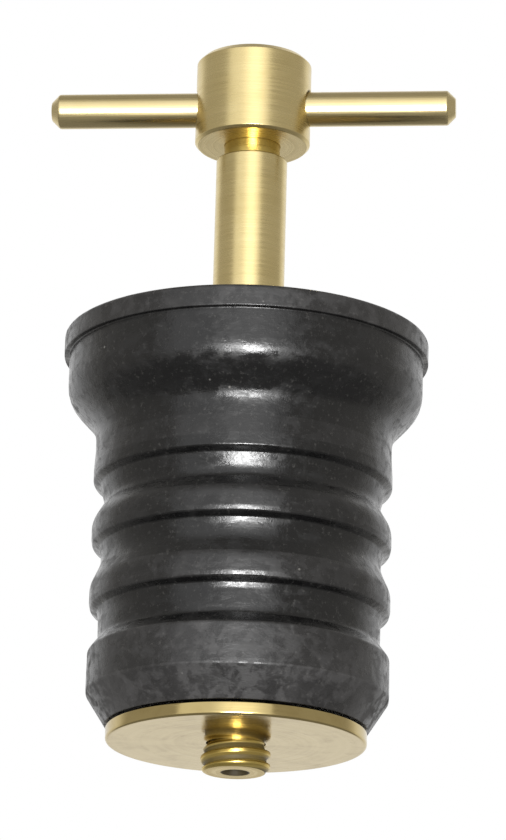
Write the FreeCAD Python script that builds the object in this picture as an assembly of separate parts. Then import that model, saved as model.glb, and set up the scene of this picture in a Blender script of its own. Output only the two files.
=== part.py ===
"""T-handle boat drain plug: an expanding rubber body squeezed between two brass discs.

Frame, in millimetres: +Z runs along the screw towards the handle, and the handle's
bar lies along X. The origin is on the plug's axis, half-way up the plain band under
the flange, which is the height of the drain tube's mouth.

The plug is modelled backed off, as it is put in: the head stands clear of the sleeve
and the bottom plate just off the rubber.
"""
import FreeCAD, Part
import math
import os

from FreeCAD import Vector

# Rubber body: flange, from the tube's mouth upwards
SEAL_R = 12.7
BAND_R = 12.6
BAND_HALF_H = 1.4
TAPER_H = 2.75
COLLAR_R = 15.15
COLLAR_H = 3.8
LIP_R = 15.6
LIP_H = 1.85

# Rubber body: sealing ridges, from the plain band downwards
RIDGE_COUNT = 3
FIRST_RIDGE_H = 1.78
RIDGE_H = 2.05
GROOVE_R = 11.9
FLANK_BELOW_H = 0.5
FLANK_ABOVE_H = 1.45
GROOVE_H = 1.55
LAST_GROOVE_H = 1.97
END_RING_H = 3.45
BEVEL_H = 2.6
BEVEL_INSET = 1.65

# Rubber body: the broken corners of the flange
TAPER_HEAD_EDGE = 0.6
LIP_TOP_EDGE = 0.3

# Screw, and what runs on it
SCREW_R = 2.415
SCREW_CLEARANCE = 0.06
SLEEVE_CLEARANCE = 0.085
RUBBER_CLEARANCE = 0.3
SCREW_REACH = 2.4
UPSET_R = 2.925
UPSET_H = 1.35
UPSET_LEAD_H = 0.3
UPSET_EDGE = 0.22
DIMPLE_R = 1.15
DIMPLE_H = 0.55

# Brass discs and the hexagonal hub under the rubber
PLATE_R = 10.95
PLATE_H = 1.1
PLATE_GAP = 0.2
PLATE_EDGE = 0.25
HUB_FLATS = 8.0
HUB_H = 6.0
HUB_CLEARANCE = 0.1
POCKET_END_GAP = 0.9
WASHER_R = 10.95
WASHER_H = 1.1

# Spacer sleeve
SLEEVE_R = 3.075
SLEEVE_H = 15.45

# Handle
HEAD_SLACK = 1.4
HEAD_R = 5.0
HEAD_H = 7.85
HEAD_TOP_EDGE = 0.45
HEAD_FOOT_EDGE = 0.25
SOCKET_DEPTH = 6.3
SOCKET_END_GAP = 0.1
PRESS_GAP = 0.01
BAR_R = 1.52
BAR_LENGTH = 35.4
BAR_EDGE = 0.7
BAR_RISE = 3.45
BAR_HOLE_EDGE = 0.22

# Heights that follow from the sizes above
BAND_TOP = BAND_HALF_H
TAPER_TOP = BAND_TOP + TAPER_H
COLLAR_TOP = TAPER_TOP + COLLAR_H
RUBBER_TOP = COLLAR_TOP + LIP_H
RIDGES_H = FIRST_RIDGE_H + (RIDGE_COUNT - 1) * (RIDGE_H + GROOVE_H + FLANK_ABOVE_H)
RIDGES_H += RIDGE_COUNT * FLANK_BELOW_H
END_RING_TOP = -BAND_HALF_H - RIDGES_H - LAST_GROOVE_H - FLANK_ABOVE_H
BEVEL_TOP = END_RING_TOP - END_RING_H
RUBBER_FOOT = BEVEL_TOP - BEVEL_H
PLATE_TOP = RUBBER_FOOT - PLATE_GAP
PLATE_FOOT = PLATE_TOP - PLATE_H
SCREW_FOOT = PLATE_FOOT - SCREW_REACH
WASHER_TOP = RUBBER_TOP + WASHER_H
SLEEVE_TOP = WASHER_TOP + SLEEVE_H
HEAD_FOOT = SLEEVE_TOP + HEAD_SLACK
SOCKET_TOP = HEAD_FOOT + SOCKET_DEPTH
SCREW_TOP = SOCKET_TOP - SOCKET_END_GAP
BAR_Z = HEAD_FOOT + BAR_RISE

# A cut that runs through a face starts this far outside it
OVERSHOOT = 1.0

UP = Vector(0, 0, 1)
ALONG_BAR = Vector(1, 0, 0)


def turned(corners):
    """Solid of revolution about Z inside a closed outline of (radius, height) corners."""
    points = [Vector(radius, 0, height) for radius, height in corners]
    face = Part.Face(Part.makePolygon(points + points[:1]))
    return face.revolve(Vector(0, 0, 0), UP, 360)


def cylinder(radius, foot, top):
    return Part.makeCylinder(radius, top - foot, Vector(0, 0, foot), UP)


def ring(bore_r, rim_r, foot, top):
    """Flat-ended washer or tube about Z."""
    return turned([(bore_r, foot), (rim_r, foot), (rim_r, top), (bore_r, top)])


def hexagon(across_flats, foot, top):
    """Hexagonal prism about Z with two of its flats facing along Y."""
    corner_r = across_flats / math.sqrt(3)
    turns = [math.radians(60 * i) for i in range(7)]
    points = [Vector(corner_r * math.cos(turn), corner_r * math.sin(turn), foot) for turn in turns]
    return Part.Face(Part.makePolygon(points)).extrude(Vector(0, 0, top - foot))


def flange_corners():
    """Outline of the flange, from its top face down to the plain band."""
    taper_r = COLLAR_R - BAND_R
    share = TAPER_HEAD_EDGE / math.hypot(taper_r, TAPER_H)
    return [(LIP_R - LIP_TOP_EDGE, RUBBER_TOP), (LIP_R, RUBBER_TOP - LIP_TOP_EDGE),
            (LIP_R, COLLAR_TOP), (COLLAR_R, COLLAR_TOP), (COLLAR_R, TAPER_TOP + TAPER_HEAD_EDGE),
            (COLLAR_R - share * taper_r, TAPER_TOP - share * TAPER_H), (BAND_R, BAND_TOP)]


def ridge_corners():
    """Outline of the ridges, from the plain band down to the last flank's foot."""
    corners = []
    z = -BAND_HALF_H
    for ridge in range(RIDGE_COUNT):
        if ridge == 0:
            z_crest = z
            z -= FIRST_RIDGE_H
            corners.append((BAND_R, z_crest + (SEAL_R - BAND_R)))
            corners.append((SEAL_R, z_crest))
        else:
            z -= GROOVE_H
            corners.append((GROOVE_R, z))
            z -= FLANK_ABOVE_H
            corners.append((SEAL_R, z))
            z -= RIDGE_H
        corners.append((SEAL_R, z))
        z -= FLANK_BELOW_H
        corners.append((GROOVE_R, z))
    return corners


def foot_corners():
    """Outline from the last groove's floor down to the bevelled foot."""
    return [(GROOVE_R, END_RING_TOP + FLANK_ABOVE_H), (SEAL_R, END_RING_TOP), (SEAL_R, BEVEL_TOP),
            (SEAL_R - BEVEL_INSET, RUBBER_FOOT)]


def make_rubber_body():
    """Moulded rubber: lipped flange over a ridged barrel, bored for the screw, with a
    hexagonal pocket that keeps the bottom plate from turning. The pocket is deeper than
    the hub, because it closes over it as the rubber is squeezed."""
    bore_r = SCREW_R + RUBBER_CLEARANCE
    bore_corners = [(bore_r, RUBBER_FOOT), (bore_r, RUBBER_TOP)]
    body = turned(bore_corners + flange_corners() + ridge_corners() + foot_corners())
    pocket_flats = HUB_FLATS + 2 * HUB_CLEARANCE
    pocket_top = PLATE_TOP + HUB_H + POCKET_END_GAP
    return body.cut(hexagon(pocket_flats, RUBBER_FOOT - OVERSHOOT, pocket_top))


def make_bottom_plate():
    """Brass disc with its lower edge broken and a hexagonal hub, bored through for the screw."""
    disc = turned([(0, PLATE_FOOT), (PLATE_R - PLATE_EDGE, PLATE_FOOT), (PLATE_R, PLATE_FOOT + PLATE_EDGE),
                   (PLATE_R, PLATE_TOP), (0, PLATE_TOP)])
    hub_top = PLATE_TOP + HUB_H
    plate = disc.fuse(hexagon(HUB_FLATS, PLATE_TOP, hub_top)).removeSplitter()
    return plate.cut(cylinder(SCREW_R + SCREW_CLEARANCE, PLATE_FOOT - OVERSHOOT, hub_top + OVERSHOOT))


def make_top_washer():
    """Brass disc on top of the rubber, which the sleeve bears on."""
    return ring(SCREW_R + SLEEVE_CLEARANCE, WASHER_R, RUBBER_TOP, WASHER_TOP)


def make_sleeve():
    """Brass spacer tube round the screw, between the top washer and the head."""
    return ring(SCREW_R + SLEEVE_CLEARANCE, SLEEVE_R, WASHER_TOP, SLEEVE_TOP)


def bar_hole(radius):
    """Round cutter along the bar's axis, longer than the head is wide."""
    half = HEAD_R + OVERSHOOT
    return Part.makeCylinder(radius, 2 * half, Vector(-half, 0, BAR_Z), ALONG_BAR)


def make_head():
    """Brass head: turned, bored from below for the screw and across for the bar."""
    head_top = HEAD_FOOT + HEAD_H
    body = turned([(0, HEAD_FOOT), (HEAD_R - HEAD_FOOT_EDGE, HEAD_FOOT),
                   (HEAD_R, HEAD_FOOT + HEAD_FOOT_EDGE), (HEAD_R, head_top - HEAD_TOP_EDGE),
                   (HEAD_R - HEAD_TOP_EDGE, head_top), (0, head_top)])
    body = body.cut(cylinder(SCREW_R + PRESS_GAP, HEAD_FOOT - OVERSHOOT, SOCKET_TOP))
    hole_r = BAR_R + PRESS_GAP
    body = body.cut(bar_hole(hole_r))
    for side in (-1, 1):
        mouth_x = side * (math.sqrt(HEAD_R ** 2 - hole_r ** 2) - BAR_HOLE_EDGE)
        flare = Part.makeCone(hole_r, hole_r + 2 * BAR_HOLE_EDGE, 2 * BAR_HOLE_EDGE,
                              Vector(mouth_x, 0, BAR_Z), ALONG_BAR * side)
        body = body.cut(flare)
    return body


def make_bar():
    """Brass rod with chamfered ends, pressed through the head and the screw."""
    half = BAR_LENGTH / 2
    end_r = BAR_R - BAR_EDGE
    lengthways = turned([(0, -half), (end_r, -half), (BAR_R, BAR_EDGE - half),
                         (BAR_R, half - BAR_EDGE), (end_r, half), (0, half)])
    lengthways.rotate(Vector(0, 0, 0), Vector(0, 1, 0), 90)
    lengthways.translate(Vector(0, 0, BAR_Z))
    return lengthways


def make_screw():
    """Long brass screw. Its foot is upset over the plate so that the plate can't run
    off, with the punch's dimple in its end. The thread itself isn't cut here."""
    upset_top = SCREW_FOOT + UPSET_H
    body = turned([(0, SCREW_FOOT + DIMPLE_H), (DIMPLE_R, SCREW_FOOT),
                   (UPSET_R - UPSET_EDGE, SCREW_FOOT), (UPSET_R, SCREW_FOOT + UPSET_EDGE),
                   (UPSET_R, upset_top), (SCREW_R, upset_top + UPSET_LEAD_H),
                   (SCREW_R, SCREW_TOP), (0, SCREW_TOP)])
    return body.cut(bar_hole(BAR_R + PRESS_GAP))


PIECES = {
    "rubber_body": make_rubber_body,
    "bottom_plate": make_bottom_plate,
    "top_washer": make_top_washer,
    "spacer_sleeve": make_sleeve,
    "screw": make_screw,
    "handle_head": make_head,
    "handle_bar": make_bar,
}

os.makedirs("parts", exist_ok=True)
for name, make in PIECES.items():
    solid = make()
    if solid.ShapeType != "Solid":
        solid = solid.Solids[0]
    solid.exportStep(f"parts/{name}.step")
    print(f"{name}: valid {solid.isValid()}, volume {solid.Volume:.1f} mm3, "
          f"z {solid.BoundBox.ZMin:.2f} to {solid.BoundBox.ZMax:.2f}")
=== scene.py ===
"""Looks of a T-handle boat drain plug: seven surfaces worked out on grids, their brass
and rubber finishes, and the stage. Laid out as an add-on and run as a script."""

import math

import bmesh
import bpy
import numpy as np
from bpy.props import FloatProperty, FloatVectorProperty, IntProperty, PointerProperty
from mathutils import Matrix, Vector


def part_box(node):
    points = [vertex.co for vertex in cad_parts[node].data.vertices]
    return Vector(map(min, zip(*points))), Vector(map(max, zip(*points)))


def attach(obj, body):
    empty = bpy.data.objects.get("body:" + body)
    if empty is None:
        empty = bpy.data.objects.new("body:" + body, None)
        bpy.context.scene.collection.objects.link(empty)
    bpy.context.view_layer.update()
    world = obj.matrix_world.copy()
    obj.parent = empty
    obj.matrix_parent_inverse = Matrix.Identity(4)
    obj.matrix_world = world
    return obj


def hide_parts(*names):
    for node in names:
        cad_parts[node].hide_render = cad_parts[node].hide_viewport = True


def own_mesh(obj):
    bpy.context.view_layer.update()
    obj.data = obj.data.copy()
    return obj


bl_info = {
    "name": "T-handle drain plug",
    "version": (1, 0, 0),
    "blender": (4, 5, 0),
    "location": "3D View > Sidebar > Drain plug",
    "description": "Builds an expanding brass and rubber drain plug, its finishes and its stage",
    "category": "Object",
}

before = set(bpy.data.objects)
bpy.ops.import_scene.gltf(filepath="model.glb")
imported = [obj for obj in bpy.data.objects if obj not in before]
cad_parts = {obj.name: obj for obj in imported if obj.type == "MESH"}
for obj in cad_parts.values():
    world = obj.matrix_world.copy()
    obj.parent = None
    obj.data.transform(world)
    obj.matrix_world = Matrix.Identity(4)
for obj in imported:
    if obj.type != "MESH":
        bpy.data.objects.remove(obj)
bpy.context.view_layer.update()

MM = 0.001
FULL_TURN = 2 * math.pi

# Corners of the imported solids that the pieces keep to
RUBBER_LOW, RUBBER_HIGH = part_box("rubber_body")
PLATE_LOW, PLATE_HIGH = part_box("bottom_plate")
WASHER_LOW, WASHER_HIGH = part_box("top_washer")
SLEEVE_LOW, SLEEVE_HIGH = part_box("spacer_sleeve")
SCREW_LOW, SCREW_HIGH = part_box("screw")
HEAD_LOW, HEAD_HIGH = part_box("handle_head")
BAR_LOW, BAR_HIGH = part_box("handle_bar")
BAR_Z = (BAR_LOW.z + BAR_HIGH.z) / 2

# Points on each rounded corner, and between two corners
ARC_POINTS = 5
STRETCH_POINTS = 3
SUPPORT = 0.09 * MM
WELD = 1e-8


def length(name, description, default):
    """A size in metres that a user may change."""
    return FloatProperty(name=name, description=description, default=float(default), min=0.0,
                         precision=6, unit="LENGTH", subtype="DISTANCE")


def share(name, description, default):
    """A number from 0 to 1 that a user may change."""
    return FloatProperty(name=name, description=description, default=default, min=0.0, max=1.0,
                         subtype="FACTOR")


def number(name, description, default, **more):
    """A plain number that a user may change."""
    return FloatProperty(name=name, description=description, default=default, **more)


def angle(name, description, default):
    """An angle in radians that a user may change."""
    return number(name, description, default, unit="ROTATION", subtype="ANGLE")


def colour(name, description, default):
    """A linear colour that a user may change."""
    return FloatVectorProperty(name=name, description=description, default=default, size=3,
                               min=0.0, max=1.0, subtype="COLOR")


# Outlines and grids

def unit(vectors):
    """Each vector divided by its own length."""
    return vectors / np.linalg.norm(vectors, axis=-1, keepdims=True)


def rounded_outline(corners, closed=True):
    """Points along an outline of (radius, height, corner round, mark) rows.

    Each corner becomes an arc tangent to its two sides: the arc turns from one tangent
    point to the other by spherical interpolation about the arc's centre, which lies on
    the corner's bisector at round / sin(half angle). Between two arcs come points near
    both ends and in the middle of the straight, with the smaller of its corners' marks.
    An open outline begins and ends in its first and last corners."""
    corners = np.array(corners, float)
    here = corners[:, :2]
    to_before = unit(np.roll(here, 1, axis=0) - here)
    to_after = unit(np.roll(here, -1, axis=0) - here)
    half = np.arccos(np.clip((to_before * to_after).sum(1), -1, 1)) / 2
    rounds = corners[:, 2]
    setback = (rounds / np.tan(half))[:, None]
    centre = here + unit(to_before + to_after) * (rounds / np.sin(half))[:, None]
    start, end = here + to_before * setback, here + to_after * setback
    sweep = (np.pi - 2 * half)[:, None, None]
    part = np.linspace(0, 1, ARC_POINTS)[None, :, None]
    arcs = centre[:, None] + (np.sin((1 - part) * sweep) * (start - centre)[:, None]
                              + np.sin(part * sweep) * (end - centre)[:, None]) / np.sin(sweep)
    run = np.roll(start, -1, axis=0) - end
    near = np.clip(SUPPORT / np.linalg.norm(run, axis=1), 0, 0.3)[:, None]
    part = near + (1 - 2 * near) * np.linspace(0, 1, STRETCH_POINTS)[None, :]
    straights = end[:, None] + part[:, :, None] * run[:, None]
    marks = corners[:, 3]
    arc_marks = np.repeat(marks[:, None], ARC_POINTS, axis=1)
    straight_marks = np.repeat(np.minimum(marks, np.roll(marks, -1))[:, None], STRETCH_POINTS, axis=1)
    points = np.concatenate([arcs, straights], axis=1).reshape(-1, 2)
    marks = np.concatenate([arc_marks, straight_marks], axis=1).ravel()
    if closed:
        return points, marks
    keep = slice(ARC_POINTS - 1, (len(corners) - 1) * (ARC_POINTS + STRETCH_POINTS) + 1)
    return points[keep], marks[keep]


def lathe(radius, height, around):
    """Grid of points of a turned surface: (r cos t, r sin t, z), with t going once round.

    radius and height are one value a row, or a whole grid where they change with t."""
    turn = np.arange(around) * FULL_TURN / around
    radius, height = (v[:, None] if v.ndim == 1 else v for v in (radius, height))
    radius, height, turn = np.broadcast_arrays(radius, height, turn)
    return np.stack([radius * np.cos(turn), radius * np.sin(turn), height], axis=-1)


def grid_faces(rows, around, closed_rows=False):
    """Quads between the neighbours of a grid that wraps round, as rows of four indices."""
    count = rows if closed_rows else rows - 1
    row = np.arange(count)[:, None]
    column = np.arange(around)[None, :]
    next_row, next_column = (row + 1) % rows, (column + 1) % around
    corners = [row * around + column, row * around + next_column,
               next_row * around + next_column, next_row * around + column]
    return np.stack(corners, axis=-1).reshape(-1, 4)


def smooth_step(value, low, high):
    """0 below low, 1 above high, and 3 s^2 - 2 s^3 between."""
    s = np.clip((value - low) / (high - low), 0, 1)
    return s * s * (3 - 2 * s)


def hexagon_radius(across_flats, around):
    """Radius of a hexagon with corners on the X axis: half the flats / cos(angle from the
    middle of its side)."""
    turn = np.arange(around) * FULL_TURN / around
    sixth = FULL_TURN / 6
    return across_flats / 2 / np.cos(turn % sixth - sixth / 2)


def add_object(name, data):
    """New object in the scene, at the origin."""
    made = bpy.data.objects.new(name, data)
    bpy.context.scene.collection.objects.link(made)
    return made


def make_piece(name, patches, material, marks=None):
    """One object from patches of (points, faces): joined, welded where they meet, and with
    all faces turned outwards. material is a name, and marks, one a point, become the
    attribute bloom: the rubber's grey bloom, and on the brass the painted shade in its hollows."""
    points = np.concatenate([patch[0] for patch in patches])
    offsets = np.cumsum([0] + [len(patch[0]) for patch in patches[:-1]])
    faces = []
    for patch, offset in zip(patches, offsets):
        faces += (patch[1] + offset).tolist()
    mesh = bpy.data.meshes.new(name)
    mesh.from_pydata(points.tolist(), [], faces)
    if marks is not None:
        mesh.attributes.new("bloom", "FLOAT", "POINT").data.foreach_set("value", marks)
    work = bmesh.new()
    work.from_mesh(mesh)
    bmesh.ops.remove_doubles(work, verts=work.verts, dist=WELD)
    bmesh.ops.recalc_face_normals(work, faces=work.faces)
    open_edges = [edge for edge in work.edges if not edge.is_manifold]
    if open_edges:
        raise RuntimeError(f"{name} has {len(open_edges)} open edges")
    work.to_mesh(mesh)
    work.free()
    mesh.shade_smooth()
    mesh.materials.append(bpy.data.materials[material])
    return add_object(name, mesh)


def open_outline(*corners):
    """Points of an open outline of (radius, height, corner round) rows, without marks."""
    return rounded_outline([(*corner, 0) for corner in corners], closed=False)[0]


def turned_patch(radius, height, around, closed=False):
    """Patch of a surface turned from an open or a closed outline, given as lathe takes it."""
    grid = lathe(radius, height, around)
    return grid.reshape(-1, 3), grid_faces(len(grid), around, closed)


def turned_ring(name, bore_r, rim_r, foot, top, edge, around, material):
    """Tube or washer with all four edges rounded: a closed outline carried round Z."""
    outline, _ = rounded_outline([(bore_r, foot, edge, 0), (rim_r, foot, edge, 0),
                                  (rim_r, top, edge, 0), (bore_r, top, edge, 0)])
    return make_piece(name, [turned_patch(*outline.T, around, closed=True)], material)


def pierced_wall(radius, foot, top, around, hole_r, hole_z, reach, ease):
    """Wall of a cylinder with a round hole through both of its X sides.

    The wall is a grid of rows and columns. Each point's ring is the larger of its row and
    column count from the hole's middle. The ring numbered reach lies on the hole's circle,
    at the angle of its counts, and the rings from there to ease slide evenly back to their
    plain places. Inside the hole there are no faces. Returns the points, the quads and the
    angles of the hole's ring."""
    step = hole_r / reach
    near = hole_z + np.arange(-ease, ease + 1) * step
    below = np.linspace(foot, near[0], ease, endpoint=False)
    above = np.linspace(top, near[-1], ease, endpoint=False)[::-1]
    height = np.concatenate([below, near, above])
    rows = len(height)
    grid = lathe(np.full(rows, radius), height, around)
    down = np.arange(rows)[:, None] - len(below) - ease
    quads = grid_faces(rows, around)
    inside = np.zeros((rows, around), bool)
    for side, sign in ((0, 1), (around // 2, -1)):
        across = (np.arange(around)[None, :] - side + around // 2) % around - around // 2
        ring = np.maximum(abs(down), abs(across))
        angle = np.arctan2(down, across)
        plain = np.clip((ring - reach) / (ease - reach), 0, 1)
        y = (1 - plain) * hole_r * np.cos(angle) + plain * radius * np.sin(across * FULL_TURN / around)
        z = hole_z + (1 - plain) * hole_r * np.sin(angle) + plain * (height[:, None] - hole_z)
        x = np.sqrt(np.maximum(radius ** 2 - y ** 2, 0))
        moved = ring <= ease
        grid[moved] = np.stack([sign * x, sign * y, z], axis=-1)[moved]
        inside |= ring <= reach
    quads = quads[~inside.ravel()[quads].all(axis=1)]
    edge = np.arange(8 * reach)
    side_step, along = edge // (2 * reach), edge % (2 * reach) - reach
    corner_angle = np.arctan2(along, reach)
    angles = corner_angle + side_step * FULL_TURN / 4
    used = np.unique(quads)
    renumber = np.zeros(rows * around, int)
    renumber[used] = np.arange(len(used))
    return grid.reshape(-1, 3)[used], renumber[quads], angles


def bore_patch(angles, stations, hole_z, sign):
    """Bore along X between two walls: at each (wall radius, bore radius) station, the curve
    where a bore of that radius meets an upright cylinder of that wall radius."""
    wall, bore = (np.array(values)[:, None] for values in zip(*stations))
    y = bore * np.cos(angles)
    z = hole_z + bore * np.sin(angles)
    x = np.sqrt(wall ** 2 - y ** 2)
    grid = np.stack(np.broadcast_arrays(sign * x, sign * y, z), axis=-1)
    return grid.reshape(-1, 3), grid_faces(len(stations), len(angles))


def half_bore_patch(angles, wall_r, hole_r, hole_z, sign):
    """Half of a bore along X, from the wall in to the plane X = 0: x is 1, 1/2 and 0 times
    sqrt(wall_r^2 - y^2), at y = hole_r cos(angle)."""
    y, z = hole_r * np.cos(angles), hole_z + hole_r * np.sin(angles)
    x = np.sqrt(wall_r ** 2 - y ** 2)
    part = np.array([1.0, 0.5, 0.0])[:, None]
    grid = np.stack(np.broadcast_arrays(part * x, sign * y, z), axis=-1) * (sign, 1, 1)
    return grid.reshape(-1, 3), grid_faces(3, len(angles))


def halving_band(outer, inner):
    """Flat band between a ring of points and one of half as many: a five-sided face from
    each two edges of the outer ring to one of the inner."""
    count = len(inner)
    start = np.arange(count)
    corners = [2 * start, 2 * start + 1, (2 * start + 2) % (2 * count),
               2 * count + (start + 1) % count, 2 * count + start]
    return np.concatenate([outer, inner]), np.stack(corners, axis=1)


# Nodes

def feed(tree, target, inputs):
    """Gives a node's inputs their values, or links them from the sockets given instead."""
    for key, value in inputs.items():
        if isinstance(value, bpy.types.NodeSocket):
            tree.links.new(value, target.inputs[key])
        else:
            target.inputs[key].default_value = value


def node(tree, kind, inputs=None, **settings):
    """Adds a node with its settings and feeds its inputs."""
    made = tree.nodes.new(kind)
    for key, value in settings.items():
        setattr(made, key, value)
    feed(tree, made, inputs or {})
    return made


def maths(tree, operation, *values, clamp=False):
    """Output of a Math node on values or sockets."""
    return node(tree, "ShaderNodeMath", dict(enumerate(values)), operation=operation,
                use_clamp=clamp).outputs[0]


def spread(tree, value, low, high, to_low=0.0, to_high=1.0):
    """Output of a smooth Map Range from low..high to to_low..to_high."""
    made = node(tree, "ShaderNodeMapRange", {"Value": value, "From Min": low, "From Max": high,
                                             "To Min": to_low, "To Max": to_high},
                interpolation_type="SMOOTHSTEP")
    return made.outputs["Result"]


def noise(tree, vector, scale, detail=3.0, roughness=0.55, distortion=0.0):
    """Output of a Noise Texture."""
    return node(tree, "ShaderNodeTexNoise", {"Vector": vector, "Scale": scale, "Detail": detail,
                                             "Roughness": roughness, "Distortion": distortion}
                ).outputs["Fac"]


def mix_colour(tree, part, first, second):
    """Output of a Mix node on two colours."""
    made = node(tree, "ShaderNodeMix", {0: part, 6: first, 7: second}, data_type="RGBA")
    return made.outputs[2]


def new_group(name, inputs, outputs):
    """Empty shader node group with (name, socket type, default) inputs and (name, type)
    outputs. Returns the group, its input node and its output node."""
    group = bpy.data.node_groups.new(name, "ShaderNodeTree")
    for label, kind, default in inputs:
        socket = group.interface.new_socket(label, in_out="INPUT", socket_type=kind)
        socket.default_value = default
    for label, kind in outputs:
        group.interface.new_socket(label, in_out="OUTPUT", socket_type=kind)
    return group, group.nodes.new("NodeGroupInput"), group.nodes.new("NodeGroupOutput")


def tool_marks_group():
    """Fine lines left by a tool. Turned lines depend on the distance from the axis and on
    the height only; drawn lines on the place across the rod only."""
    group, given, result = new_group(
        "tool_marks",
        [("Vector", "NodeSocketVector", (0, 0, 0)), ("Scale", "NodeSocketFloat", 1000.0),
         ("Wander", "NodeSocketFloat", 0.02)],
        [("Fine", "NodeSocketFloat"), ("Broad", "NodeSocketFloat")])
    place = given.outputs["Vector"]
    sway = noise(group, place, 180.0, detail=2.0)
    sway = maths(group, "MULTIPLY", sway, given.outputs["Wander"])
    moved = node(group, "ShaderNodeVectorMath", {0: place, 1: sway}, operation="ADD").outputs[0]
    fine = noise(group, moved, given.outputs["Scale"], detail=4.0, roughness=0.7)
    broad = noise(group, moved, maths(group, "MULTIPLY", given.outputs["Scale"], 0.22), detail=2.0)
    feed(group, result, {"Fine": fine, "Broad": broad})
    return group


def mottle_group():
    """Soft blotches with finer flecks in them, from 0 to 1."""
    group, given, result = new_group(
        "mottle",
        [("Vector", "NodeSocketVector", (0, 0, 0)), ("Scale", "NodeSocketFloat", 300.0),
         ("Low", "NodeSocketFloat", 0.4), ("High", "NodeSocketFloat", 0.6)],
        [("Mask", "NodeSocketFloat"), ("Flecks", "NodeSocketFloat")])
    place, scale = given.outputs["Vector"], given.outputs["Scale"]
    coarse = noise(group, place, scale, detail=4.0, roughness=0.6, distortion=0.4)
    mask = spread(group, coarse, given.outputs["Low"], given.outputs["High"])
    cells = node(group, "ShaderNodeTexVoronoi",
                 {"Vector": place, "Scale": maths(group, "MULTIPLY", scale, 2.5), "Randomness": 1.0})
    near = spread(group, cells.outputs["Distance"], 0.03, 0.09, 1.0, 0.0)
    some = spread(group, node(group, "ShaderNodeSeparateColor", {0: cells.outputs["Color"]}).outputs[0],
                  0.75, 0.95)
    feed(group, result, {"Mask": mask, "Flecks": maths(group, "MULTIPLY", near, some)})
    return group


def group_node(tree, name, inputs):
    """A node that runs one of the groups above."""
    return node(tree, "ShaderNodeGroup", inputs, node_tree=bpy.data.node_groups[name])


def new_material(name, preview):
    """Material with a Principled BSDF, and the plain colour that the viewport shows."""
    material = bpy.data.materials.new(name)
    material.use_nodes = True
    material.diffuse_color = (*preview, 1)
    tree = material.node_tree
    shader = tree.nodes["Principled BSDF"]
    place = tree.nodes.new("ShaderNodeTexCoord").outputs["Object"]
    return material, tree, shader, place


def turning_place(tree, place):
    """(distance from the axis, height, a little of the turn) of a point on Object
    coordinates, so that a pattern on it runs round the axis."""
    axes = node(tree, "ShaderNodeSeparateXYZ", {0: place}).outputs
    squares = maths(tree, "ADD", maths(tree, "MULTIPLY", axes[0], axes[0]),
                    maths(tree, "MULTIPLY", axes[1], axes[1]))
    distance = maths(tree, "SQRT", squares)
    side = maths(tree, "MULTIPLY", axes[0], 0.02)
    return node(tree, "ShaderNodeCombineXYZ", {0: distance, 1: axes[2], 2: side}).outputs[0]


def drawing_place(tree, place):
    """Object coordinates squeezed along X, so that a pattern on it runs along the bar."""
    return node(tree, "ShaderNodeVectorMath", {0: place, 1: (0.012, 1, 1)},
                operation="MULTIPLY").outputs[0]


def brass_material(name, finish, marks_place):
    """Bare brass: tool marks in its height and roughness, dull blotches on it, and painted
    shade, darker, rougher and less metallic, where the bloom attribute marks hollows.
    """
    material, tree, shader, place = new_material(name, finish.colour)
    marks = group_node(tree, "tool_marks", {"Vector": marks_place(tree, place),
                                            "Scale": finish.marks_scale, "Wander": 0.00002})
    spots = group_node(tree, "mottle", {"Vector": place, "Scale": finish.blotch_scale,
                                        "Low": 0.42, "High": 0.72})
    dulled = maths(tree, "MULTIPLY", spots.outputs["Mask"], finish.tarnish)
    tone = mix_colour(tree, dulled, (*finish.colour, 1), (*finish.dull_colour, 1))
    streaks = spread(tree, marks.outputs["Broad"], 0.35, 0.65, 0.0, finish.streaks)
    tone = mix_colour(tree, streaks, tone, (*finish.dull_colour, 1))
    # Painted shade: where the bloom attribute marks hollows, the metal is turned towards a near-black,
    # rougher and less metallic colour, standing for the shade in them.
    painted_shade = node(tree, "ShaderNodeAttribute", attribute_name="bloom").outputs["Fac"]
    patchy = maths(tree, "MULTIPLY_ADD", spots.outputs["Mask"], 0.04, 0.96)
    painted_shade = maths(tree, "MULTIPLY", painted_shade, patchy)
    tone = mix_colour(tree, painted_shade, tone, (*finish.hollow_shade_colour, 1))
    rough = spread(tree, marks.outputs["Fine"], 0.3, 0.7, finish.roughness - 0.05,
                   finish.roughness + 0.06)
    rough = maths(tree, "ADD", rough, maths(tree, "MULTIPLY", dulled, 0.12))
    rough = maths(tree, "MULTIPLY_ADD", painted_shade, 0.3, rough)
    metallic = maths(tree, "SUBTRACT", 1.0, painted_shade)
    height = maths(tree, "ADD", marks.outputs["Fine"],
                   maths(tree, "MULTIPLY", marks.outputs["Broad"], 0.6))
    bump = node(tree, "ShaderNodeBump", {"Height": height, "Distance": finish.marks_depth,
                                         "Strength": 1.0})
    feed(tree, shader, {"Base Color": tone, "Roughness": rough, "Metallic": metallic,
                        "Normal": bump.outputs["Normal"]})
    return material


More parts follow.
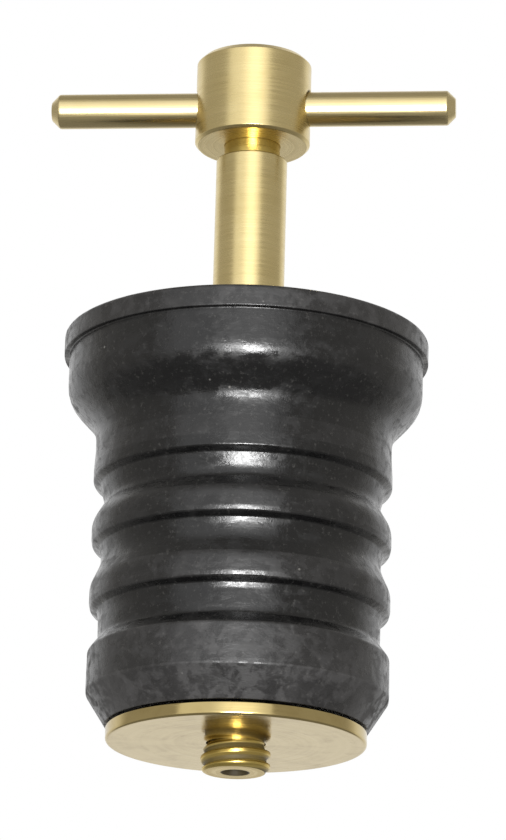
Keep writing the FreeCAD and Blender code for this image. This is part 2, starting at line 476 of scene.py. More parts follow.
def rubber_material(look):
    """Moulded black rubber: shiny in its grooves, with a grey bloom where the bloom
    attribute says, flecks of dust, a soft waviness and a fine grain."""
    material, tree, shader, place = new_material("rubber_look", look.colour)
    bloom = node(tree, "ShaderNodeAttribute", attribute_name="bloom").outputs["Fac"]
    blotches = group_node(tree, "mottle", {"Vector": place, "Scale": 260.0, "Low": 0.25, "High": 0.75})
    fine = group_node(tree, "mottle", {"Vector": place, "Scale": 800.0, "Low": 0.42, "High": 0.6})
    cover = maths(tree, "MULTIPLY_ADD", blotches.outputs["Mask"], 0.5, 0.5)
    cover = maths(tree, "MULTIPLY", cover, maths(tree, "MULTIPLY_ADD", fine.outputs["Mask"], 0.4, 0.7))
    cover = maths(tree, "MULTIPLY", cover, bloom, clamp=True)
    haze = maths(tree, "MULTIPLY_ADD", blotches.outputs["Mask"], 0.03, cover, clamp=True)
    tone = mix_colour(tree, haze, (*look.colour, 1), (*look.bloom_colour, 1))
    flecks = maths(tree, "MULTIPLY", blotches.outputs["Flecks"], look.dust)
    tone = mix_colour(tree, flecks, tone, (*look.dust_colour, 1))
    rough = spread(tree, cover, 0.0, 1.0, look.roughness, look.bloom_roughness)
    rough = maths(tree, "ADD", rough, maths(tree, "MULTIPLY", fine.outputs["Mask"], look.patches))
    speck = noise(tree, place, 2600.0, detail=4.0, roughness=0.75)
    rough = maths(tree, "ADD", rough, spread(tree, speck, 0.5, 0.68, 0.0, look.specks))
    specks = spread(tree, speck, 0.56, 0.72, 0.0, look.specks)
    tone = mix_colour(tree, specks, tone, (*look.dust_colour, 1))
    drawn_out = node(tree, "ShaderNodeVectorMath", {0: place, 1: (0.3, 0.3, 1)}, operation="MULTIPLY")
    flow = noise(tree, drawn_out.outputs[0], 1500.0, detail=4.0, roughness=0.65)
    rough = maths(tree, "ADD", rough, spread(tree, flow, 0.45, 0.75, 0.0, 0.2))
    waves = noise(tree, place, 420.0, detail=2.0)
    grain = noise(tree, place, 5200.0, detail=3.0, roughness=0.6)
    height = maths(tree, "MULTIPLY_ADD", waves, look.waves, maths(tree, "MULTIPLY", grain, look.grain))
    height = maths(tree, "MULTIPLY_ADD", flow, look.flow, height)
    bump = node(tree, "ShaderNodeBump", {"Height": height, "Distance": 1.0, "Strength": 1.0})
    feed(tree, shader, {"Base Color": tone, "Roughness": rough, "Specular IOR Level": look.specular,
                        "Normal": bump.outputs["Normal"]})
    return material


# Settings

class FinishSettings(bpy.types.PropertyGroup):
    """Looks of one kind of brass."""
    colour: colour("Colour", "Clean metal", (0.72, 0.59, 0.295))
    dull_colour: colour("Dull colour", "Metal under a film of tarnish", (0.5, 0.38, 0.14))
    # Painted shade: this near-black colour is mixed into the brass where the bloom attribute marks
    # hollows. It stands for the shade in the thread roots, the punch dimple and the cross hole's bore.
    hollow_shade_colour: colour("Grime colour", "Dirt in the creases", (0.02, 0.013, 0.003))
    tarnish: share("Tarnish", "How far the blotches dull the metal", 0.25)
    streaks: share("Streaks", "How far the tool's lines tint the metal", 0.12)
    roughness: share("Roughness", "Mean roughness", 0.27)
    blotch_scale: number("Blotch scale", "Blotches in a metre", 220.0)
    marks_scale: number("Marks scale", "Tool marks in a metre", 4200.0)
    marks_depth: length("Marks depth", "Depth of the tool marks", 0.01 * MM)


class RubberSettings(bpy.types.PropertyGroup):
    """Sizes and looks of the rubber body."""
    lip_r: length("Lip radius", "Radius of the lip at the top", RUBBER_HIGH.x)
    lip_h: length("Lip height", "Height of the lip", 1.85 * MM)
    collar_r: length("Collar radius", "Radius of the collar under the lip", 15.15 * MM)
    collar_h: length("Collar height", "Height of the collar", 3.8 * MM)
    taper_h: length("Taper height", "Height of the sloping shoulder", 2.75 * MM)
    band_r: length("Band radius", "Radius of the plain band under the shoulder", 12.6 * MM)
    band_h: length("Band height", "Height of the plain band", 2.8 * MM)
    seal_r: length("Ridge radius", "Radius of the sealing ridges and the foot ring", 12.7 * MM)
    groove_r: length("Groove radius", "Radius of the groove floors", 11.9 * MM)
    first_ridge_h: length("First ridge height", "Height of the ridge next to the band", 1.78 * MM)
    ridge_h: length("Ridge height", "Height of each later ridge", 2.05 * MM)
    undercut_h: length("Undercut height", "Height of the steep flank under a ridge", 0.38 * MM)
    groove_h: length("Groove height", "Height of a groove between two ridges", 3.5 * MM)
    last_groove_h: length("Last groove height", "Height of the groove over the foot ring", 3.92 * MM)
    last_flank_h: length("Last flank height", "Height of the slope over the foot ring", 1.1 * MM)
    ridge_count: IntProperty(name="Ridges", description="Number of sealing ridges", default=3, min=1)
    bevel_h: length("Bevel height", "Height of the bevel at the foot", 2.6 * MM)
    bevel_inset: length("Bevel inset", "Width of the bevel at the foot", 1.65 * MM)
    edge: length("Edge round", "Round of the moulded outer corners", 0.22 * MM)
    bore_r: length("Bore radius", "Radius of the hole for the screw", 2.715 * MM)
    pocket_flats: length("Pocket width", "Width of the hexagonal pocket across its flats", 8.2 * MM)
    pocket_top: length("Pocket depth", "Depth of the hexagonal pocket", 6.7 * MM)
    colour: colour("Colour", "Clean rubber", (0.002, 0.002, 0.0022))
    bloom_colour: colour("Bloom colour", "Grey bloom on the raised bands", (0.055, 0.053, 0.053))
    dust_colour: colour("Dust colour", "Flecks of dust", (0.3, 0.29, 0.27))
    dust: share("Dust", "Strength of the flecks of dust", 0.4)
    specks: share("Specks", "Strength of the fine dull specks", 0.08)
    patches: share("Patches", "Roughness added in duller patches", 0.15)
    roughness: share("Roughness", "Roughness in the grooves", 0.16)
    bloom_roughness: share("Bloom roughness", "Roughness on the raised bands", 0.75)
    specular: share("Specular", "Strength of the rubber's reflections", 0.54)
    waves: length("Waves", "Height of the moulding's soft waviness", 0.06 * MM)
    grain: length("Grain", "Height of the fine grain", 0.012 * MM)
    flow: length("Flow lines", "Height of the flow lines round the body", 0.036 * MM)


class BrassSettings(bpy.types.PropertyGroup):
    """Sizes of the brass pieces that their solids' corners don't give."""
    screw_r: length("Screw radius", "Radius of the screw's plain shank", 2.415 * MM)
    sleeve_bore_r: length("Sleeve bore", "Radius of the sleeve's and the washer's bore", 2.5 * MM)
    plate_bore_r: length("Plate bore", "Radius of the hole in the bottom plate", 2.475 * MM)
    plate_h: length("Plate thickness", "Thickness of the bottom plate's disc", 1.1 * MM)
    plate_edge: length("Plate edge", "Round of the bottom plate's lower edge", 0.2 * MM)
    hub_flats: length("Hub width", "Width of the hexagonal hub across its flats", 8.0 * MM)
    sleeve_edge: length("Sleeve edge", "Round of the sleeve's ends", 0.13 * MM)
    washer_edge: length("Washer edge", "Round of the washer's edges", 0.15 * MM)
    head_top_edge: length("Head top edge", "Chamfer at the head's top", 0.45 * MM)
    head_foot_edge: length("Head foot edge", "Chamfer at the head's foot", 0.25 * MM)
    socket_depth: length("Socket depth", "Depth of the head's socket for the screw", 6.3 * MM)
    press_gap: length("Press gap", "Gap round the bar and the screw in the head", 0.01 * MM)
    hole_edge: length("Cross hole edge", "Countersink of the head's cross hole", 0.22 * MM)
    bar_gap: length("Bar gap", "Extra room round the bar in the hole's mouth", 0.12 * MM)
    bar_edge: length("Bar edge", "Chamfer at the bar's ends", 0.7 * MM)
    pitch: length("Pitch", "Rise of the screw's thread in one turn", 1.058 * MM)
    thread_root_r: length("Thread root", "Radius of the thread's root in the plate", 1.85 * MM)
    foot_root_r: length("Foot thread root", "Radius of the thread's root in the upset foot", 2.6 * MM)
    dimple_r: length("Dimple radius", "Radius of the punch dimple in the screw's foot", 1.15 * MM)
    dimple_h: length("Dimple depth", "Depth of the punch dimple", 1.0 * MM)


class StageSettings(bpy.types.PropertyGroup):
    """Camera, floor and lights."""
    distance: length("Camera distance", "Camera to the plug's axis", 352.8 * MM)
    height: number("Camera height", "Camera above the origin", -106.62 * MM, precision=5, unit="LENGTH")
    azimuth: angle("Azimuth", "Camera's turn round the axis", math.radians(5.9))
    pitch: angle("Pitch", "Upward tilt of the camera", 0.30089)
    yaw: angle("Yaw", "Turn of the camera off the axis", 0.00199)
    roll: angle("Roll", "Lean of the camera", -0.0271)
    lens: number("Lens", "Focal length in millimetres", 185.26)
    floor_z: number("Floor", "Height of the floor", -0.17, unit="LENGTH")
    floor_colour: colour("Floor colour", "Grey floor", (0.4, 0.4, 0.4))
    floor_r: length("Floor radius", "Radius of the round floor", 0.3)
    softbox: number("Softbox", "Radiance of the front softbox", 0.62)
    glow: number("Glow", "Radiance added in the softbox's middle", 0.66)
    strip: number("Strip", "Radiance of the lamp under it", 34.0)
    surround: number("Surround", "Radiance of the room's sides", 0.47)
    room_colour: colour("Room colour", "Warm tint of the room's sides", (1.0, 0.965, 0.9))
    backdrop: number("Backdrop", "Radiance of the white backdrop", 0.85)


class PlugSettings(bpy.types.PropertyGroup):
    """All the settings of the drain plug."""
    rubber: PointerProperty(type=RubberSettings)
    brass: PointerProperty(type=BrassSettings)
    plate_finish: PointerProperty(type=FinishSettings)
    turned_finish: PointerProperty(type=FinishSettings)
    screw_finish: PointerProperty(type=FinishSettings)
    drawn_finish: PointerProperty(type=FinishSettings)
    stage: PointerProperty(type=StageSettings)


# Operators

class PlugOperator:
    """What every operator of the drain plug shares."""
    bl_options = {"REGISTER", "UNDO"}

    def execute(self, context):
        self.make(context.scene.drain_plug)
        return {"FINISHED"}


class DRAINPLUG_OT_finishes(PlugOperator, bpy.types.Operator):
    """Makes the node groups and the materials"""
    bl_idname = "drainplug.finishes"
    bl_label = "Finishes"

    def make(self, plug):
        tool_marks_group()
        mottle_group()
        plate, screw, drawn = plug.plate_finish, plug.screw_finish, plug.drawn_finish
        plate.roughness, plate.tarnish, plate.marks_scale = 0.1, 0.5, 3200.0
        plate.blotch_scale, plate.colour = 420.0, (0.53, 0.42, 0.19)
        plate.dull_colour = (0.4, 0.3, 0.12)
        screw.roughness, screw.tarnish, screw.colour = 0.28, 0.35, (0.6, 0.45, 0.13)
        drawn.roughness, drawn.tarnish, drawn.marks_scale = 0.28, 0.12, 5000.0
        drawn.colour = (0.66, 0.55, 0.3)
        brass_material("stamped_look", plate, turning_place)
        brass_material("turned_look", plug.turned_finish, turning_place)
        brass_material("screw_look", screw, turning_place)
        brass_material("drawn_look", drawn, drawing_place)
        rubber_material(plug.rubber)


class DRAINPLUG_OT_rubber_body(PlugOperator, bpy.types.Operator):
    """Makes the moulded rubber body"""
    bl_idname = "drainplug.rubber_body"
    bl_label = "Rubber body"

    def make(self, plug):
        """One closed outline carried round Z. In the pocket its radius is multiplied by the
        hexagon's radius over half the flats."""
        size = plug.rubber
        around = 264
        foot, top = RUBBER_LOW.z, RUBBER_HIGH.z
        collar_top = top - size.lip_h
        taper_top = collar_top - size.collar_h
        band_top = taper_top - size.taper_h
        z = band_top - size.band_h
        edge, small = size.edge, size.edge / 3
        corners = [(size.bore_r, top, small, 0.5), (size.lip_r, top, 0.3 * MM, 0.4),
                   (size.lip_r, collar_top, small, 0.35), (size.collar_r, collar_top, 0.1 * MM, 0.05),
                   (size.collar_r, taper_top, 2.8 * MM, 0.05), (size.band_r, band_top, 2.4 * MM, 0.0),
                   (size.band_r, z + 0.8 * MM, 2.5 * MM, 0.1),
                   (size.seal_r, z - 0.7 * MM, 2.5 * MM, 0.12)]
        z -= size.first_ridge_h
        for ridge in range(size.ridge_count):
            # The first groove has a longer and steeper slope under its ledge than the others
            first = ridge == 0
            crest_r = size.seal_r - (0 if first else 0.09 * MM)
            ledge_r = size.groove_r + (0.2 if first else 0.12) * MM
            floor_r = size.groove_r - (0.26 if first else 0.19) * MM
            floor_z = z - (0.56 if first else 0.46) * size.groove_h
            floor_round = (1.2 if first else 2.2) * MM
            if not first:
                corners.append((size.seal_r, z + 0.4 * MM, 0.8 * MM, 0.1 * ridge))
            corners += [(crest_r, z, edge, 0.1 * ridge), (ledge_r, z - size.undercut_h, edge, 0.0)]
            if ridge < size.ridge_count - 1:
                z -= size.groove_h
                corners += [(floor_r, floor_z, floor_round, 0.0),
                            (size.seal_r, z - 0.3 * MM, 2.0 * MM, 0.12 + 0.1 * ridge)]
                z -= size.ridge_h
        corners.append((size.groove_r, z - 0.85 * MM, 1.2 * MM, 0.0))
        z -= size.last_groove_h
        corners += [(size.groove_r - 0.03 * MM, z + size.last_flank_h, 0.7 * MM, 0.0),
                    (size.seal_r, z, 0.35 * MM, 0.35),
                    (size.seal_r + 0.02 * MM, foot + size.bevel_h + 0.4 * MM, edge, 0.35),
                    (size.seal_r, foot + size.bevel_h, 0.4 * MM, 0.6),
                    (size.seal_r - size.bevel_inset, foot, small, 0.6)]
        outside = len(corners) * (ARC_POINTS + STRETCH_POINTS)
        pocket_r = size.pocket_flats / 2
        corners += [(pocket_r, foot, small, 0), (pocket_r, foot + size.pocket_top, small, 0),
                    (size.bore_r, foot + size.pocket_top, small, 0)]
        outline, marks = rounded_outline(corners)
        radius = np.repeat(outline[:, :1], around, axis=1)
        wall = outline[outside:, :1]
        hexagon = hexagon_radius(size.pocket_flats, around)[None, :] / pocket_r
        flare = smooth_step(wall, size.bore_r + 0.2 * (pocket_r - size.bore_r), pocket_r - 0.1 * MM)
        flare = flare * (outline[outside:, 1:] < foot + size.pocket_top + small)
        radius[outside:] = wall * (1 + flare * (hexagon - 1))
        piece = make_piece("moulded_body", [turned_patch(radius, outline[:, 1], around, closed=True)],
                           "rubber_look", np.repeat(marks, around))
        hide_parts("rubber_body")
        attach(piece, "plug_body")
        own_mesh(piece)


class DRAINPLUG_OT_bottom_plate(PlugOperator, bpy.types.Operator):
    """Makes the disc under the rubber with its hexagonal hub"""
    bl_idname = "drainplug.bottom_plate"
    bl_label = "Bottom plate"

    def make(self, plug):
        """One closed outline carried round Z. On the hub its radius is multiplied by the
        hexagon's radius over half the flats, fading out towards the bore and the rim."""
        size = plug.brass
        around = 192
        foot, top, rim_r = PLATE_LOW.z, PLATE_HIGH.z, PLATE_HIGH.x
        disc_top = foot + size.plate_h
        hub_r = size.hub_flats / 2
        corners = [(size.plate_bore_r, top, 0.08 * MM, 0), (size.plate_bore_r, foot, 0.12 * MM, 0),
                   (rim_r, foot, size.plate_edge, 0), (rim_r, disc_top, 0.1 * MM, 0)]
        plain = len(corners) * (ARC_POINTS + STRETCH_POINTS) - STRETCH_POINTS
        corners += [(hub_r, disc_top, 0.05 * MM, 0), (hub_r, top, 0.1 * MM, 0)]
        outline, _ = rounded_outline(corners)
        radius = np.repeat(outline[:, :1], around, axis=1)
        wall = outline[plain:, :1]
        hexagon = hexagon_radius(size.hub_flats, around)[None, :] / hub_r
        inner = smooth_step(wall, size.plate_bore_r + 0.1 * MM, hub_r - 0.1 * MM)
        outer = 1 - smooth_step(wall, hub_r, rim_r - 0.2 * MM)
        radius[plain:] = wall * (1 + inner * outer * (hexagon - 1))
        piece = make_piece("keyed_plate", [turned_patch(radius, outline[:, 1], around, closed=True)],
                           "stamped_look")
        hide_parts("bottom_plate")
        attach(piece, "plate")


class DRAINPLUG_OT_washer_and_sleeve(PlugOperator, bpy.types.Operator):
    """Makes the washer on top of the rubber and the spacer sleeve on it"""
    bl_idname = "drainplug.washer_and_sleeve"
    bl_label = "Washer and sleeve"

    def make(self, plug):
        size = plug.brass
        washer = turned_ring("flat_washer", size.sleeve_bore_r, WASHER_HIGH.x, WASHER_LOW.z,
                             WASHER_HIGH.z, size.washer_edge, 192, "stamped_look")
        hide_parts("top_washer")
        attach(washer, "plug_body")
        sleeve = turned_ring("spacer_tube", size.sleeve_bore_r, SLEEVE_HIGH.x, SLEEVE_LOW.z,
                             SLEEVE_HIGH.z, size.sleeve_edge, 128, "turned_look")
        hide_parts("spacer_sleeve")
        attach(sleeve, "plug_body")


class DRAINPLUG_OT_handle_head(PlugOperator, bpy.types.Operator):
    """Makes the turned head with its socket and its cross hole"""
    bl_idname = "drainplug.handle_head"
    bl_label = "Handle head"

    def make(self, plug):
        """Turned outlines for the ends, two pierced cylinders for the wall and the socket, and
        bores of changing radius between their holes."""
        size = plug.brass
        around, inner_around, reach, ease = 144, 72, 8, 12
        foot, top, wall_r = HEAD_LOW.z, HEAD_HIGH.z, HEAD_HIGH.x
        hole_r = BAR_HIGH.y + size.press_gap
        mouth_r = hole_r + size.hole_edge
        socket_r = size.screw_r + size.press_gap
        socket_top = foot + size.socket_depth
        small, seam_h, mouth_h = 0.06 * MM, 0.3 * MM, 0.2 * MM
        face_r, mouth_face_r = socket_r + 1.4 * MM, socket_r + 0.9 * MM
        wall_low = foot + size.head_foot_edge + seam_h
        wall_high = top - size.head_top_edge - seam_h
        low = open_outline((face_r, foot, 0), (wall_r - size.head_foot_edge, foot, small),
                           (wall_r, foot + size.head_foot_edge, small), (wall_r, wall_low, 0))
        high = open_outline((wall_r, wall_high, 0), (wall_r, top - size.head_top_edge, small),
                            (wall_r - size.head_top_edge, top, small), (0, top, 0))
        outer = pierced_wall(wall_r, wall_low, wall_high, around, mouth_r, BAR_Z, reach, ease)
        mouth = open_outline((mouth_face_r, foot, 0), (socket_r, foot, small),
                             (socket_r, foot + mouth_h, 0))
        inner = pierced_wall(socket_r, foot + mouth_h, socket_top, inner_around, hole_r, BAR_Z,
                             reach, ease)
        roof = np.array([(socket_r, socket_top), (socket_r / 2, socket_top), (0, socket_top)])
        patches = [turned_patch(*low.T, around), outer[:2], turned_patch(*high.T, around),
                   turned_patch(*mouth.T, inner_around), inner[:2], turned_patch(*roof.T, inner_around)]
        gap_r = hole_r + size.bar_gap
        stations = [(wall_r, mouth_r), (wall_r - 0.4 * size.hole_edge, 0.5 * (mouth_r + gap_r)),
                    (wall_r - size.hole_edge, gap_r), (wall_r - 4 * size.hole_edge, gap_r),
                    (wall_r - 4.2 * size.hole_edge, hole_r), (socket_r, hole_r)]
        # Painted shade in the cross hole: the bore is painted half dark a little way in from its mouth
        # and fully dark deeper in.
        bore_shade = np.repeat([0.0, 0.5, 0.9, 1.0, 1.0, 1.0], len(outer[2]))
        for sign in (1, -1):
            patches.append(bore_patch(outer[2], stations, BAR_Z, sign))
        patches.append(halving_band(lathe(np.array([face_r]), np.array([foot]), around)[0],
                                    lathe(np.array([mouth_face_r]), np.array([foot]), inner_around)[0]))
        unshaded_count = sum(len(patch[0]) for patch in patches[:6])
        painted_shade = np.concatenate([np.zeros(unshaded_count), bore_shade, bore_shade, np.zeros(len(patches[-1][0]))])
        piece = make_piece("turned_head", patches, "turned_look", painted_shade)
        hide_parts("handle_head")
        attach(piece, "handle")


class DRAINPLUG_OT_handle_bar(PlugOperator, bpy.types.Operator):
    """Makes the cross bar"""
    bl_idname = "drainplug.handle_bar"
    bl_label = "Handle bar"

    def make(self, plug):
        """An open outline turned about Z, then laid along X: (x, y, z) goes to (z, y, -x)."""
        size = plug.brass
        half, bar_r = BAR_HIGH.x, BAR_HIGH.y
        end_r, end_x = bar_r - size.bar_edge, half - size.bar_edge
        small = 0.1 * MM
        outline = open_outline((0, -half, 0), (end_r, -half, small), (bar_r, -end_x, 2.5 * small),
                               (bar_r, end_x, 2.5 * small), (end_r, half, small), (0, half, 0))
        upright, quads = turned_patch(*outline.T, 80)
        points = upright[:, [2, 1, 0]] * (1, 1, -1) + (0, 0, BAR_Z)
        piece = make_piece("cross_bar", [(points, quads)], "drawn_look")
        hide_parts("handle_bar")
        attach(piece, "handle")


class DRAINPLUG_OT_screw(PlugOperator, bpy.types.Operator):
    """Makes the long screw with its thread, its upset foot and the punch dimple"""
    bl_idname = "drainplug.screw"
    bl_label = "Screw"

    def make(self, plug):
        """Thread radius: crest - depth (1 - form), where form is a smoothed and clipped
        triangle wave of height / pitch - turn. Crest and root swell at the upset foot, and
        the foot's edge is a quarter ellipse."""
        size = plug.brass
        around, reach, ease = 72, 8, 12
        foot, top, foot_r = SCREW_LOW.z, SCREW_HIGH.z, SCREW_HIGH.x
        face = PLATE_LOW.z
        thread_top = PLATE_HIGH.z + 1.0 * MM
        lead = 0.45 * MM
        wall_low = HEAD_LOW.z + 0.2 * MM
        end = open_outline((0, foot + size.dimple_h, 0),
                           (0.6 * size.dimple_r, foot + 0.9 * size.dimple_h, 0.2 * MM),
                           (size.dimple_r, foot, 0.06 * MM), (foot_r - lead, foot, 0))
        height = np.concatenate([foot + np.linspace(0.05, 1, 8) ** 2 * lead,
                                 np.arange(foot + lead, thread_top, size.pitch / 16)[1:]])
        turn = np.arange(around) / around
        phase = (height[:, None] - face) / size.pitch - turn[None, :] + 0.79
        form = np.clip(2.2 * np.abs(2 * (phase % 1) - 1) - 0.6, 0, 1)
        form = form * form * (3 - 2 * form)
        swell = smooth_step(face - height, 0.1 * MM, 0.75 * MM)[:, None]
        crest = size.screw_r + swell * (foot_r - size.screw_r)
        bared = smooth_step(face - height, -0.1 * MM, 0.15 * MM)[:, None]
        root = size.thread_root_r + bared * (size.screw_r - 0.06 * MM - size.thread_root_r)
        root = root + swell * (size.foot_root_r - root)
        fade = smooth_step(thread_top - height, 0.0, 1.5 * MM)[:, None]
        depth = (crest - root) * fade
        radius = crest - depth * (1 - form)
        end_round = np.clip((foot + lead - height) / lead, 0, 1)[:, None]
        end_round = 1 - np.sqrt(1 - end_round ** 2)
        radius = radius - end_round * (radius - (foot_r - lead))
        shank = np.array([(size.screw_r, thread_top), (size.screw_r, wall_low)])
        wall_high = top - 0.3 * MM
        crown = open_outline((size.screw_r, wall_high, 0), (size.screw_r, top, 0.15 * MM), (0, top, 0))
        hole_r = BAR_HIGH.y + size.press_gap
        wall = pierced_wall(size.screw_r, wall_low, wall_high, around, hole_r, BAR_Z, reach, ease)
        foot_grid = np.concatenate([lathe(*end.T, around), lathe(radius, height, around),
                                    lathe(*shank[:1].T, around)])
        # Painted shade: the punch dimple is painted fully dark, and the thread's roots are painted dark
        # between the crests, fading out where the thread ends.
        painted_shade = np.zeros(foot_grid.shape[:2])
        painted_shade[:len(end)] = 1 - smooth_step(end[:, 0], size.dimple_r, 1.12 * size.dimple_r)[:, None]
        painted_shade[len(end):-1] = 0.9 * (1 - form) * fade
        patches = [(foot_grid.reshape(-1, 3), grid_faces(len(foot_grid), around)),
                   turned_patch(*shank.T, around), wall[:2], turned_patch(*crown.T, around)]
        for sign in (1, -1):
            patches.append(half_bore_patch(wall[2], size.screw_r, hole_r, BAR_Z, sign))
        unshaded_count = sum(len(patch[0]) for patch in patches[1:])
        piece = make_piece("long_screw", patches, "screw_look",
                           np.concatenate([painted_shade.ravel(), np.zeros(unshaded_count)]))
        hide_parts("screw")
        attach(piece, "handle")


class DRAINPLUG_OT_stage(PlugOperator, bpy.types.Operator):
    """Makes the floor, the lights, the world and the camera"""
    bl_idname = "drainplug.stage"
    bl_label = "Stage"

    def make(self, plug):
        for part in (make_floor, make_world, make_lamp, make_camera):
            part(plug.stage)
        bpy.context.scene.view_settings.view_transform = "Standard"


def make_floor(stage):
    """Round flat floor, far below the plug."""
    around = 96
    rim = lathe(np.array([stage.floor_r]), np.array([stage.floor_z]), around)[0]
    mesh = bpy.data.meshes.new("floor")
    mesh.from_pydata(rim.tolist(), [], [list(range(around))])
    floor = add_object("floor", mesh)
    material, tree, shader, place = new_material("grey_floor", stage.floor_colour)
    tone = spread(tree, noise(tree, place, 6.0), 0.3, 0.7, 0.97, 1.0)
    grey = mix_colour(tree, tone, (0, 0, 0, 1), (*stage.floor_colour, 1))
    feed(tree, shader, {"Base Color": grey, "Roughness": 0.8})
    mesh.materials.append(material)


def make_world(stage):
    """Room light by direction: warm dim sides, a darker ceiling and ground, a soft box of
    light with a glow in it before the plug, a white backdrop behind, and plain white where
    the camera sees past the object."""
    world = bpy.data.worlds.new("studio")
    bpy.context.scene.world = world
    world.use_nodes = True
    tree = world.node_tree
    tree.nodes.clear()
    direction = tree.nodes.new("ShaderNodeTexCoord").outputs["Generated"]
    high = node(tree, "ShaderNodeSeparateXYZ", {0: direction}).outputs[2]
    box_turn, glow_turn = -0.19, 0.04
    sine, cosine = math.sin(stage.azimuth), math.cos(stage.azimuth)
    side, front = (node(tree, "ShaderNodeVectorMath", {0: direction, 1: axis},
                        operation="DOT_PRODUCT").outputs["Value"]
                   for axis in ((cosine, sine, 0), (sine, -cosine, 0)))
    turn = maths(tree, "ARCTAN2", side, front)
    off_box, off_glow = (maths(tree, "ABSOLUTE", maths(tree, "SUBTRACT", turn, middle))
                         for middle in (box_turn, glow_turn))
    box = maths(tree, "MULTIPLY", spread(tree, off_box, 0.7, 0.76, stage.softbox, 0.0),
                spread(tree, high, 0.7, 0.9, 1.0, 0.0))
    glow = maths(tree, "MULTIPLY", spread(tree, off_glow, 0.08, 0.48, stage.glow, 0.0),
                 spread(tree, high, -0.2, 0.35, 3.5, 1.0))
    glow = maths(tree, "MULTIPLY", glow, spread(tree, high, 0.54, 0.72, 1.0, 0.0))
    lit = maths(tree, "MULTIPLY", spread(tree, high, -0.5, -0.25), maths(tree, "ADD", box, glow))
    behind = maths(tree, "MULTIPLY", spread(tree, front, -0.75, -0.35, 1.0, 0.0),
                   spread(tree, high, -0.5, -0.1))
    level = maths(tree, "MULTIPLY_ADD", behind, stage.backdrop - stage.surround, stage.surround)
    level = maths(tree, "MULTIPLY", level, spread(tree, high, -0.7, -0.3, 0.3, 1.0))
    level = maths(tree, "MULTIPLY", level, spread(tree, high, 0.7, 0.92, 1.0, 0.78))
    level = maths(tree, "ADD", level, lit)
    tint = mix_colour(tree, spread(tree, lit, 0.0, 0.5), (*stage.room_colour, 1), (1, 1, 1, 1))
    room = node(tree, "ShaderNodeBackground", {"Color": tint, "Strength": level})
    seen = node(tree, "ShaderNodeBackground", {"Color": (1, 1, 1, 1), "Strength": 1.0})
    ray = tree.nodes.new("ShaderNodeLightPath").outputs
    mirrored = maths(tree, "MAXIMUM", ray["Is Glossy Ray"], ray["Is Transmission Ray"])
    white = maths(tree, "MAXIMUM", ray["Is Camera Ray"], maths(tree, "MULTIPLY", mirrored, behind))
    either = node(tree, "ShaderNodeMixShader", {0: white, 1: room.outputs[0], 2: seen.outputs[0]})
    node(tree, "ShaderNodeOutputWorld", {"Surface": either.outputs[0]})


def make_lamp(stage):
    """A bright area light low before the plug, turned towards it."""
    width, height, distance = 0.26, 0.2, 0.62
    turn, rise = stage.azimuth + math.radians(1.5), math.radians(-16)
    away = Vector((math.sin(turn) * math.cos(rise), -math.cos(turn) * math.cos(rise), math.sin(rise)))
    lamp = bpy.data.lights.new("strip", "AREA")
    lamp.shape = "ELLIPSE"
    lamp.size, lamp.size_y = width, height
    lamp.energy = stage.strip * math.pi * width * height * math.pi / 4
    light = add_object("strip", lamp)
    light.location = away * distance
    light.rotation_euler = (-away).to_track_quat("-Z", "Y").to_euler()
    light.visible_camera = False


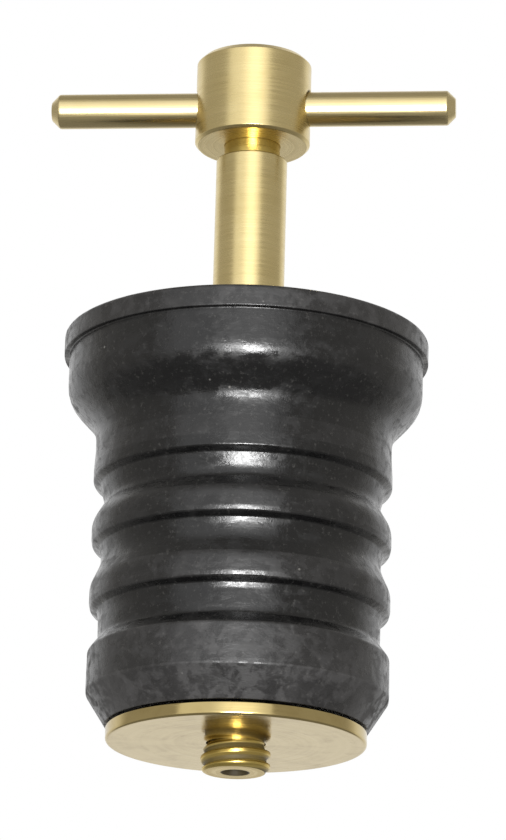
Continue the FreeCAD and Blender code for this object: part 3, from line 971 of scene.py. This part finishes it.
def make_camera(stage):
    """Camera on a circle round the axis, tilted up, turned a little and leaning."""
    data = bpy.data.cameras.new("camera")
    data.lens = stage.lens
    data.sensor_width = 36.0
    data.clip_start, data.clip_end = 0.01, 20.0
    sideways = Vector((math.cos(stage.azimuth), math.sin(stage.azimuth), 0))
    forwards = Vector((-math.sin(stage.azimuth), math.cos(stage.azimuth), 0))
    upwards = Vector((0, 0, 1))
    right = sideways * math.cos(stage.yaw) - forwards * math.sin(stage.yaw)
    level = sideways * math.sin(stage.yaw) + forwards * math.cos(stage.yaw)
    ahead = level * math.cos(stage.pitch) + upwards * math.sin(stage.pitch)
    up = upwards * math.cos(stage.pitch) - level * math.sin(stage.pitch)
    lean_right = right * math.cos(stage.roll) - up * math.sin(stage.roll)
    lean_up = right * math.sin(stage.roll) + up * math.cos(stage.roll)
    turn = Matrix((lean_right, lean_up, -ahead)).transposed().to_4x4()
    camera = add_object("camera", data)
    camera.matrix_world = Matrix.Translation(upwards * stage.height - forwards * stage.distance) @ turn
    bpy.context.scene.camera = camera


OPERATORS = (DRAINPLUG_OT_finishes, DRAINPLUG_OT_rubber_body, DRAINPLUG_OT_bottom_plate,
             DRAINPLUG_OT_washer_and_sleeve, DRAINPLUG_OT_handle_head, DRAINPLUG_OT_handle_bar,
             DRAINPLUG_OT_screw, DRAINPLUG_OT_stage)


class DRAINPLUG_PT_sidebar(bpy.types.Panel):
    """Lists the drain plug's operators and settings"""
    bl_idname = "DRAINPLUG_PT_sidebar"
    bl_label = "Drain plug"
    bl_space_type = "VIEW_3D"
    bl_region_type = "UI"
    bl_category = "Drain plug"

    def draw(self, context):
        plug = context.scene.drain_plug
        for operator in OPERATORS:
            self.layout.operator(operator.bl_idname)
        for name in plug.bl_rna.properties.keys():
            if name in ("rna_type", "name"):
                continue
            settings = getattr(plug, name)
            box = self.layout.box()
            box.label(text=name.replace("_", " "))
            for key in settings.bl_rna.properties.keys():
                if key not in ("rna_type", "name"):
                    box.prop(settings, key)


CLASSES = (FinishSettings, RubberSettings, BrassSettings, StageSettings, PlugSettings, *OPERATORS,
           DRAINPLUG_PT_sidebar)


def register():
    for each in CLASSES:
        bpy.utils.register_class(each)
    bpy.types.Scene.drain_plug = PointerProperty(type=PlugSettings)


def unregister():
    del bpy.types.Scene.drain_plug
    for each in reversed(CLASSES):
        bpy.utils.unregister_class(each)


def main():
    """Builds everything in order."""
    register()
    bpy.ops.drainplug.finishes()
    bpy.ops.drainplug.rubber_body()
    bpy.ops.drainplug.bottom_plate()
    bpy.ops.drainplug.washer_and_sleeve()
    bpy.ops.drainplug.handle_head()
    bpy.ops.drainplug.handle_bar()
    bpy.ops.drainplug.screw()
    bpy.ops.drainplug.stage()


if __name__ == "__main__":
    main()
